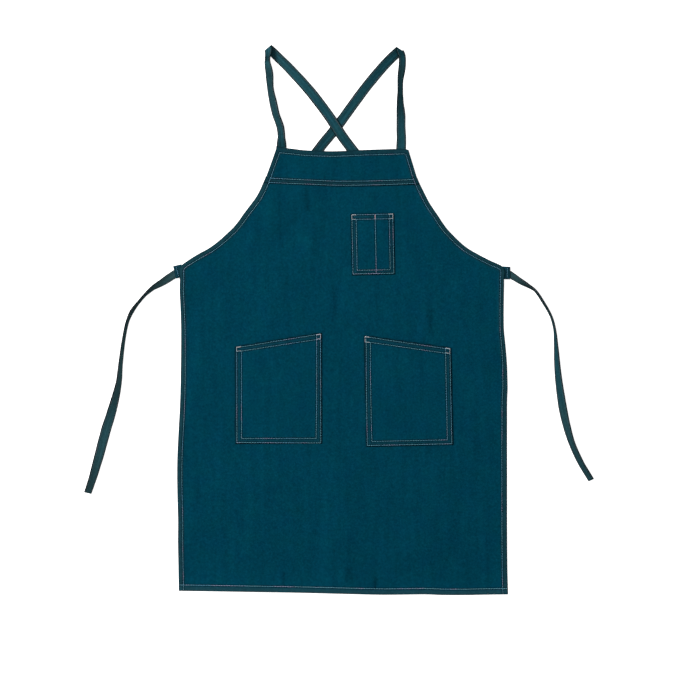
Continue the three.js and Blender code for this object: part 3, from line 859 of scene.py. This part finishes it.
# What the pockets share: sewn by two rows and tacked at the corners of the mouth
pocket = {
    "step": (3.6 * mm, 3.6 * mm),
    "smoothing": 6,
    "edgeCells": [0, 0.7, 1.5, 2.3, 4, 6.5, 8.6, 9.3, 10, 10.7, 11.8, 14],
    "hemCloth": 2.1 * mm,
    "cloth": 1.2 * mm,
    "hemEnd": (10.4 * mm, 12 * mm),
    "lift": 0.2 * mm,
    "rolled": 0.45 * mm,
    "innerDip": 0.3 * mm,
    "packedRise": 2.6 * mm,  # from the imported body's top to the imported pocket's, where it lies flat
    "fullness": 0.4,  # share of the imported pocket's own fullness
    "mouthDepth": 0.03,
    "waves": 0.25 * mm,
    "pucker": 0.3 * mm,
    "hemWear": 0.35,
    "broadRows": (1, 1, 1.2),
    "tackLength": 8.5 * mm,
    "tackBreadth": 1.5 * mm,
    "tackShares": (0.6, 0.5),  # how broad the corner's other two tacks are beside the first
    "dividerTack": 10 * mm,
}


def pocketRows(sheet, look):
    # the outer row goes all round, the mouth's second row right across, the inner row in between
    def least(side, row):
        inset = look[side][row]
        return min(depth for _, depth in inset) if isinstance(inset, list) else inset

    outer = {side: least(side, 0) for side in allSides}
    inner = {side: least(side, 1) for side in allSides}

    def clear(*kept, **changed):
        return {**{side: outer[side] for side in kept}, **changed}

    rows = [
        sheet.insetRow("left", look["left"][0], clear("bottom", "top")),
        sheet.insetRow("right", look["right"][0], clear("bottom", "top")),
        sheet.insetRow("bottom", look["bottom"][0], clear("left", "right")),
        sheet.insetRow("top", look["top"][0], clear("left", "right")),
        sheet.insetRow("top", look["top"][1], clear("left", "right")),
        sheet.insetRow("left", look["left"][1], {"bottom": inner["bottom"], "top": inner["top"]}),
        sheet.insetRow("right", look["right"][1], {"bottom": inner["bottom"], "top": outer["top"]}),
        sheet.insetRow("bottom", look["bottom"][1], {"left": inner["left"], "right": inner["right"]}),
    ]
    if "divider" in look:
        low, high = outer["bottom"] * mm / sheet.height, 1 - outer["top"] * mm / sheet.height
        rows.append([sheet.spot(look["divider"], lerp(low, high, k / 40)) for k in range(41)])
    return rows, outer


def makePocket(name):
    look = pockets[name]
    seed = look["seed"]
    sheet = pocketSheets[name]
    rows, outer = pocketRows(sheet, look)
    mouth = min(sheet.spot(0, 1)[1], sheet.spot(1, 1)[1]) - pocket["mouthDepth"]

    def height(x, y, z, edge, seam):
        under, _ = seat(bodyMade["tree"], x, y)
        packedUnder, _ = seat(bodySheet.tree, x, y)
        fullness = max(0, z - packedUnder.z - pocket["packedRise"]) * pocket["fullness"]
        fullness *= smoothStep(edge, 3 * mm, 16 * mm) if y < mouth else 1
        rolled = pocket["rolled"] * (1 - smoothStep(edge, 0, 1.2 * mm))
        inner = pocket["innerDip"] * smoothStep(edge, 10.2 * mm, 12.5 * mm)
        uneven = clothRelief(x, y, seam, pocket["waves"], pocket["pucker"], seed)
        return under.z + pocket["lift"] + pocket["hemCloth"] - rolled - inner + fullness + uneven

    thickness = hemThickness(sheet, allSides, pocket)
    shape = clothPiece(sheet, pocket, height, thickness, rows)
    made = sewnPiece(name, name, shape, rows, seed, pocket["broadRows"])
    tree = made["tree"]

    bars = bmesh.new()
    length, breadth = pocket["tackLength"], pocket["tackBreadth"]
    downShare, lowShare = pocket["tackShares"]
    topRow, leftRow, rightRow = (outer[side] * mm for side in ("top", "left", "right"))
    v = 1 - topRow / sheet.height
    low = 1 - look["top"][2] * mm / sheet.height
    for near, far in (
        (leftRow / sheet.width, (leftRow + length) / sheet.width),
        (1 - rightRow / sheet.width, 1 - (rightRow + length) / sheet.width),
    ):
        sewTack(bars, tree, sheet.spot(near, v), sheet.spot(far, v), breadth)
        sewTack(bars, tree, sheet.spot(near, v), sheet.spot(near, low), breadth * downShare)
        sewTack(bars, tree, sheet.spot(near, low), sheet.spot(far, low), breadth * lowShare)
    made["threads"].append(addPiece(name + "_bar_tacks", bars, barThread))
    if "divider" in look:
        bars = bmesh.new()
        low = 1 - (topRow + pocket["dividerTack"]) / sheet.height
        top, foot = sheet.spot(look["divider"], v), sheet.spot(look["divider"], low)
        sewTack(bars, tree, top, foot, breadth)
        made["threads"].append(addPiece(name + "_divider_tack", bars, dividerThread))
    print(name, "made", round(made["area"], 4))
    return made


pocketsMade = {name: makePocket(name) for name in pockets}

# The straps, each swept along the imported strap's own route
strap = {
    "width": 20 * mm,
    "flatWidth": 0.0205,
    "thickness": 2.0 * mm,
    "step": 3.2 * mm,
    "tipReach": 0.04,  # how far round the tie's tip its direction is taken from
    "tipRing": 0.025,  # and how far the tip's own end face goes
    "ripple": 0.10,
    "edgeShift": 0.35 * mm,
    "rim": (0.7, 1.5 * mm, 5 * mm),  # how grey the edges are, and between which insets it fades
    "stitchInset": 2.8 * mm,
    "stitchEnd": 3 * mm,
    "shortest": 0.3 * mm,
    "stitchSize": 0.8,  # beside a seam's own stitches
    "stitchDepth": 0.74,  # of half the thickness, where the section's groove is
    # middlePale: a painted highlight along the tape's raised middle
    "middlePale": 0.2,  # how much paler the middle is than the two edges
    # along each strap, from its tie's tip (0) to the bib (1): how much paler or darker it is,
    # how worn and grey, how far it is moved across and up the picture in millimetres, how flat
    # it is turned, and how broad it is beside its own width
    "pale": {
        # pale's sharp dips are painted shade in the shoulder bend and beside the waist loop
        "strap_left": [
            (0, -0.34), (0.06, -0.24), (0.12, -0.1), (0.19, -0.26), (0.235, -0.5), (0.3, -0.5),
            (0.322, -0.02), (0.336, 0.0), (0.346, -0.5), (0.4, -0.2), (0.6, 0), (0.7, 0.08), (0.83, 0.08),
            (0.843, -0.5), (0.848, 0.1), (0.862, -0.24), (0.91, -0.28), (0.97, -0.26), (1, -0.2),
        ],
        "strap_right": [
            (0, 0.14), (0.13, 0.2), (0.19, -0.06), (0.23, -0.34), (0.31, -0.38), (0.33, 0.14),
            (0.36, 0.26), (0.5, -0.24), (0.66, -0.24), (0.69, -0.04), (0.8, -0.08), (0.835, -0.3),
            (0.845, 0.14), (0.86, 0.04), (0.90, -0.26), (0.92, -0.12), (0.94, 0.28), (0.97, 0.26),
            (1, 0.16),
        ],
    },
    "worn": {
        "strap_left": [
            (0, 0.5), (0.1, 0.5), (0.13, 0.15), (0.22, 0.15), (0.26, 0.8), (0.33, 0.9), (0.45, 0),
            (0.7, 0), (0.8, 0.2), (0.84, 0.2), (0.87, 0.5), (0.93, 0.3), (0.97, 0), (1, 0),
        ],
        "strap_right": [
            (0, 0.8), (0.06, 0.5), (0.12, 0.5), (0.17, 0.9), (0.35, 0.9), (0.45, 0), (0.84, 0),
            (0.86, 0.5), (0.9, 0.3), (0.96, 0), (1, 0),
        ],
    },
    "across": {
        "strap_left": [
            (0, 0), (0.5, 0), (0.65, -2.6), (0.7, 0), (0.8, -0.8), (0.83, -1.2), (0.847, -2.8),
            (0.862, 0), (0.885, -1.0), (0.905, -0.2), (0.93, -0.4), (0.958, -2.2), (0.976, -0.6), (1, 0),
        ],
        "strap_right": [
            (0, 0), (0.05, 0), (0.09, 1.0), (0.13, 1.2), (0.17, 0.3), (0.5, 0), (0.6, -2), (0.65, -3.2),
            (0.675, 0), (0.7, 2), (0.73, 2), (0.77, 0), (0.81, -2.4), (0.83, -0.5), (0.842, 3.6),
            (0.855, 2.2), (0.875, 0.8), (0.94, 1.8), (1, 0.6),
        ],
    },
    "up": {
        "strap_left": [
            (0, 0), (0.28, 0), (0.325, 2), (0.35, 0.5), (0.38, -3), (0.45, 0), (0.82, 0), (0.847, 2.4),
            (0.87, 0), (1, 0),
        ],
        "strap_right": [
            (0, 0), (0.3, -0.5), (0.345, -2.5), (0.4, -6.5), (0.5, 0), (0.82, 0), (0.842, 2.8),
            (0.86, 0.6), (0.88, 0), (1, 0),
        ],
    },
    "levelled": {
        "strap_left": [
            (0, 0), (0.84, 0), (0.852, 0.5), (0.868, 0.45), (0.885, 0.1), (0.905, 0.25), (0.925, 0.1),
            (0.95, -0.1), (1, 0),
        ],
        "strap_right": [
            (0, 0), (0.03, 0.3), (0.08, 0.45), (0.12, 0.15), (0.16, 0), (0.835, 0), (0.85, 0.4),
            (0.868, 0.4), (0.885, 0.3), (0.95, 0.4), (1, 0),
        ],
    },
    "broad": {
        "strap_left": [
            (0, 1), (0.26, 1), (0.3, 0.88), (0.325, 0.72), (0.35, 0.72), (0.4, 1), (0.82, 1),
            (0.847, 0.86), (0.87, 1), (1, 1),
        ],
        "strap_right": [
            (0, 1), (0.3, 1), (0.335, 0.84), (0.37, 0.84), (0.42, 1), (0.82, 1), (0.842, 0.86),
            (0.86, 0.96), (0.88, 1), (1, 1),
        ],
    },
    # the section's half: a share of half the width, and of half the thickness
    "section": [
        (-1.0, 0.0), (-0.99, 0.42), (-0.955, 0.78), (-0.90, 0.95), (-0.77, 0.92), (-0.72, 0.74),
        (-0.67, 0.92), (-0.58, 0.98), (-0.40, 1.0), (0.0, 0.97), (0.40, 1.0), (0.58, 0.98), (0.67, 0.92),
        (0.72, 0.74), (0.77, 0.92), (0.90, 0.95), (0.955, 0.78), (0.99, 0.42),
    ],
}


def strapStations(node):
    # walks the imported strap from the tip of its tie, ring by ring
    shape = packedShape(node)
    tip = min(shape.verts, key=lambda vert: vert.co.y)
    near = [vert.co for vert in shape.verts if (vert.co - tip.co).length < strap["tipReach"]]
    way = (sum(near, Vector()) / len(near) - tip.co).normalized()
    ring = set()
    for face in shape.faces:
        far = (face.calc_center_median() - tip.co).length
        if face.normal.dot(way) < -0.8 and far < strap["tipRing"]:
            ring |= set(face.verts)
    rings = []
    seen = set(ring)
    while ring:
        rings.append([vert.co.copy() for vert in sorted(ring, key=lambda vert: vert.index)])
        ring = {edge.other_vert(vert) for vert in ring for edge in vert.link_edges} - seen
        seen |= ring
    shape.free()

    stations = []
    across = Vector((1, 0, 0))
    for corners in rings:
        middle = sum(corners, Vector()) / len(corners)
        spokes = [corner - middle for corner in corners]
        guess = max(spokes, key=lambda spoke: spoke.length)
        guess = guess if guess.dot(across) > 0 else -guess
        for _ in range(4):
            guess = sum((spoke * spoke.dot(guess) for spoke in spokes), Vector()).normalized()
        across = guess
        stations.append((middle, across))
    return stations


def curvePoint(before, start, end, after, share):
    # a smooth curve through four places
    a = (end - before) / 2
    b = (after - start) / 2
    rise = end - start
    bend = (a + b - 2 * rise) * share + (3 * rise - 2 * a - b)
    return start + share * (a + share * bend)


def strapRoute(stations, moves):
    route = []
    last = len(stations) - 1
    for i in range(last):
        (start, acrossStart), (end, acrossEnd) = stations[i], stations[i + 1]
        before, after = stations[max(i - 1, 0)][0], stations[min(i + 2, last)][0]
        count = max(1, math.ceil((end - start).length / strap["step"]))
        for k in range(count + (i == last - 1)):
            share = k / count
            place = curvePoint(before, start, end, after, share)
            route.append((place, acrossStart.lerp(acrossEnd, share).normalized()))
    total = sum((b[0] - a[0]).length for a, b in zip(route, route[1:]))
    turned = []
    gone = 0.0
    for i, (place, across) in enumerate(route):
        gone += (place - route[max(i - 1, 0)][0]).length
        share = gone / total
        moved = Vector((moves["across"](share) * mm, moves["up"](share) * mm, 0))
        level = across.copy()
        level.z *= 1 - moves["levelled"](share)
        turned.append((place + moved, level.normalized()))
    route = turned
    steps = []
    for i, (place, across) in enumerate(route):
        along = (route[min(i + 1, len(route) - 1)][0] - route[max(i - 1, 0)][0]).normalized()
        across = (across - along * across.dot(along)).normalized()
        steps.append((place, across, along.cross(across)))
    return steps


def makeStrap(name, seed):
    node = "shoulder_" + name
    moves = {kind: smoothTable(strap[kind][name]) for kind in ("across", "up", "levelled")}
    steps = strapRoute(strapStations(node), moves)
    lengths = [0.0]
    for a, b in zip(steps, steps[1:]):
        lengths.append(lengths[-1] + (b[0] - a[0]).length)
    section = strap["section"] + [(-across, -off) for across, off in strap["section"]]
    around = len(section)
    halfWidth, halfThickness = strap["width"] / 2, strap["thickness"] / 2

    shape = bmesh.new()
    bmesh.ops.create_grid(shape, x_segments=around, y_segments=len(steps) - 1, size=0.5)
    edge, seam, pale, hemmed, spread, run = carry(shape, "edge", "seam", "pale", "hemmed", "wide", "run")
    paleAt, wornAt, broadAt = (smoothTable(strap[kind][name]) for kind in ("pale", "worn", "broad"))
    greyRim, *rimFade = strap["rim"]
    for vert in shape.verts:
        i = round((vert.co.x + 0.5) * around) % around
        j = round((vert.co.y + 0.5) * (len(steps) - 1))
        place, across, off = steps[j]
        wide, deep = section[i]
        share = lengths[j] / lengths[-1]
        broad = broadAt(share)
        ripple = 1 + strap["ripple"] * wobble(lengths[j], wide * 0.02, 60, seed)
        edgeShift = strap["edgeShift"] * wobble(lengths[j], wide, 40, seed + 5) * abs(wide)
        sideways = across * (wide * halfWidth * broad - edgeShift)
        vert.co = place + sideways + off * deep * halfThickness * ripple
        # edge: how far in from the tape's side, where the painted edge shade falls
        vert[edge] = halfWidth * (1 - abs(wide)) + 0.4 * mm * (1 - abs(deep))
        vert[seam] = abs(abs(wide) * halfWidth - halfWidth + strap["stitchInset"])
        # pale along the strap, and painted light across its raised middle
        vert[pale] = paleAt(share) + strap["middlePale"] * (0.5 - abs(wide))
        rim = greyRim * (1 - smoothStep(halfWidth * (1 - abs(wide)), *rimFade))
        vert[hemmed] = max(rim, wornAt(share))
        vert[spread] = wide * halfWidth + seed
        vert[run] = lengths[j]
    bmesh.ops.remove_doubles(shape, verts=shape.verts, dist=0.005 * mm)
    ends = [line for line in shape.edges if line.is_boundary]
    bmesh.ops.holes_fill(shape, edges=ends, sides=0)
    bmesh.ops.recalc_face_normals(shape, faces=shape.faces[:])
    shape.normal_update()
    piece = addPiece(name + "_tape", shape, strapTape, node)

    stitches = bmesh.new()
    offset = halfWidth - strap["stitchInset"]
    for side in (-1, 1):
        for face in (-1, 1):
            sewStrapRow(stitches, steps, lengths, side * offset, face, broadAt)
    stitching = addPiece(name + "_stitching", stitches, tapeThread)
    print(name, "made", round(lengths[-1], 3), "m long")
    return {"tape": piece, "length": lengths[-1], "stitching": stitching}


def sewStrapRow(shape, steps, lengths, offset, face, broadAt):
    pitch, length = sewing["pitch"], sewing["length"]
    depth = strap["thickness"] / 2 * strap["stitchDepth"]
    count = int((lengths[-1] - 2 * strap["stitchEnd"]) / pitch)
    width, thick = sewing["width"] * strap["stitchSize"], sewing["thick"] * strap["stitchSize"]
    for k in range(count):
        ends = []
        for goal in (strap["stitchEnd"] + k * pitch, strap["stitchEnd"] + k * pitch + length):
            i = int(clamp(bisect.bisect_right(lengths, goal) - 1, 0, len(lengths) - 2))
            share = (goal - lengths[i]) / (lengths[i + 1] - lengths[i])
            (p0, a0, o0), (p1, a1, o1) = steps[i], steps[i + 1]
            place, across, off = p0.lerp(p1, share), a0.lerp(a1, share), o0.lerp(o1, share)
            inset = offset * broadAt(goal / lengths[-1])
            ends.append((place + across * inset + off * face * depth, off * face))
        (start, normal), (end, _) = ends
        if (end - start).length > strap["shortest"]:
            layStitch(shape, start, end, normal, width, thick)


strapsMade = [makeStrap("strap_left", 3), makeStrap("strap_right", 4)]

# The waist loops: a strip folded round the strap and closed at the strap's lower edge
loop = {
    "length": 17 * mm,
    "lengthCells": 12,
    "pathStep": 1.3 * mm,
    "rowSteps": 20,
    "ease": 1.4 * mm,
    "cloth": 1.2 * mm,
    "height": 5.2 * mm,
    # where the under layer comes up to close: millimetres past the strap's edge, and below the top
    "closing": [(1.5, 0), (0.6, 0), (-0.5, 0.8)],
    "closed": 0.05 * mm,
    "flatStart": 1.6 * mm,
    "stitchInset": 6 * mm,
    "pale": 0.06,
    "hemWear": 0.6,
    "places": {
        "waist_loop_left": {"mouth": (-337.0, -10.4), "tilt": 13, "side": -1},
        "waist_loop_right": {"mouth": (334.4, -11.8), "tilt": 2, "side": 1},
    },
}


def loopPath():
    # the strip's inner face, seen along the strap: it folds round one of the strap's edges and
    # its two layers close against each other past the other edge
    half = strap["width"] / 2 + loop["ease"]
    high = loop["height"] / 2 - loop["cloth"]
    under = high - loop["closed"]
    path = [(half + past * mm, under - below * mm) for past, below in loop["closing"]]
    end = path[0][0]
    path.append((half - loop["flatStart"], -high))
    path += [(half * share, -high) for share in (0.6, 0.2, -0.2, -0.6)]
    for degrees in range(-90, 91, 20):
        turn = math.radians(degrees)
        path.append((-half + high - high * math.cos(turn), high * math.sin(turn)))
    path += [(half * share, high) for share in (-0.6, -0.2, 0.2, 0.6)]
    path += [(half, high), (end, high)]
    return path


def makeLoop(name, spot):
    path = resample(loopPath(), loop["pathStep"])
    tilt = math.radians(spot["tilt"])
    way = Vector((spot["side"] * math.cos(tilt), -math.sin(tilt), 0))
    mouth = Vector((spot["mouth"][0] * mm, spot["mouth"][1] * mm, loop["height"] / 2))
    inward = Vector((spot["side"] * way.y, -abs(way.x), 0))
    up = Vector((0, 0, 1))
    cells = loop["lengthCells"]
    shape = bmesh.new()
    bmesh.ops.create_grid(shape, x_segments=len(path) - 1, y_segments=cells, size=0.5)
    for vert in shape.verts:
        i = round((vert.co.x + 0.5) * (len(path) - 1))
        j = round((vert.co.y + 0.5) * cells)
        side, high = path[i]
        vert.co = mouth - way * (loop["length"] * j / cells) + inward * side + up * high
    shape.normal_update()
    area = sum(face.calc_area() for face in shape.faces)
    bmesh.ops.solidify(shape, geom=shape.faces[:], thickness=spot["side"] * loop["cloth"])
    bmesh.ops.recalc_face_normals(shape, faces=shape.faces[:])
    edge, seam, pale, hemmed = carry(shape, "edge", "seam", "pale", "hemmed")
    for vert in shape.verts:
        along = -(vert.co - mouth).dot(way)
        # edge: how far from the loop's mouth end, where the painted edge shade falls
        vert[edge] = clamp(along, 0, 1)
        vert[seam] = abs(along - loop["stitchInset"])
        vert[pale] = loop["pale"]
        vert[hemmed] = loop["hemWear"]
    row = []
    for k in range(loop["rowSteps"] + 1):
        off = strap["width"] * (k / loop["rowSteps"] - 0.5)
        place = mouth - way * loop["stitchInset"] + inward * off
        row.append((place.x, place.y))
    print(name, "made", round(area, 5))
    return {**sewnPiece(name, name, shape, [row], 9), "area": area}


loopsMade = [makeLoop(name, spot) for name, spot in loop["places"].items()]


# The floor, the sky and one soft key light
def makeStudio():
    shape = bmesh.new()
    bmesh.ops.create_grid(shape, x_segments=1, y_segments=1, size=studio["floorSize"])
    bmesh.ops.translate(shape, verts=shape.verts, vec=(0, 0, -studio["floorDrop"]))
    mesh = bpy.data.meshes.new("studioFloor")
    shape.to_mesh(mesh)
    shape.free()
    floor = bpy.data.objects.new("studioFloor", mesh)
    bpy.context.collection.objects.link(floor)
    paint = Finish("paleFloor", 1.0)
    paint.shader.inputs["Base Color"].default_value = studio["floorColour"]
    paint.shader.inputs["Emission Color"].default_value = (1, 1, 1, 1)
    paint.shader.inputs["Emission Strength"].default_value = studio["floorGlow"]
    mesh.materials.append(paint.material)

    sky = bpy.data.worlds.new("softSky")
    sky.use_nodes = True
    sky.node_tree.nodes["Background"].inputs["Color"].default_value = (1, 1, 1, 1)
    sky.node_tree.nodes["Background"].inputs["Strength"].default_value = studio["skyStrength"]
    bpy.context.scene.world = sky

    key = bpy.data.lights.new("keyLight", "AREA")
    key.energy = studio["keyPower"]
    key.size = studio["keySize"]
    lamp = bpy.data.objects.new("keyLight", key)
    away = Vector(studio["keyPlace"]) - Vector(studio["keyAim"])
    lamp.location = studio["keyPlace"]
    lamp.rotation_euler = away.to_track_quat("Z", "Y").to_euler()
    bpy.context.collection.objects.link(lamp)


makeStudio()
print("studio made")


# Each soft piece's area, the least of its built and flat cut sizes, and the pieces under it and its
# threads, worked out and not used
def declareCloth():
    straps = [made["tape"].name for made in strapsMade]
    onBody = [bodyMade["cloth"].name]
    laid = [(bodyMade, body["flat"], [*straps, "studioFloor"]), (bandMade, band["flat"], onBody + straps)]
    laid += [(made, pockets[name]["flat"], onBody) for name, made in pocketsMade.items()]
    for made, flat, under in laid:
        area = min(made["area"], flat[0] * flat[1])
        sewn = made["threads"]
        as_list(under)
        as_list(sewn)
    for made in loopsMade:
        made["area"] / loop["length"]
        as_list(made["threads"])


declareCloth()
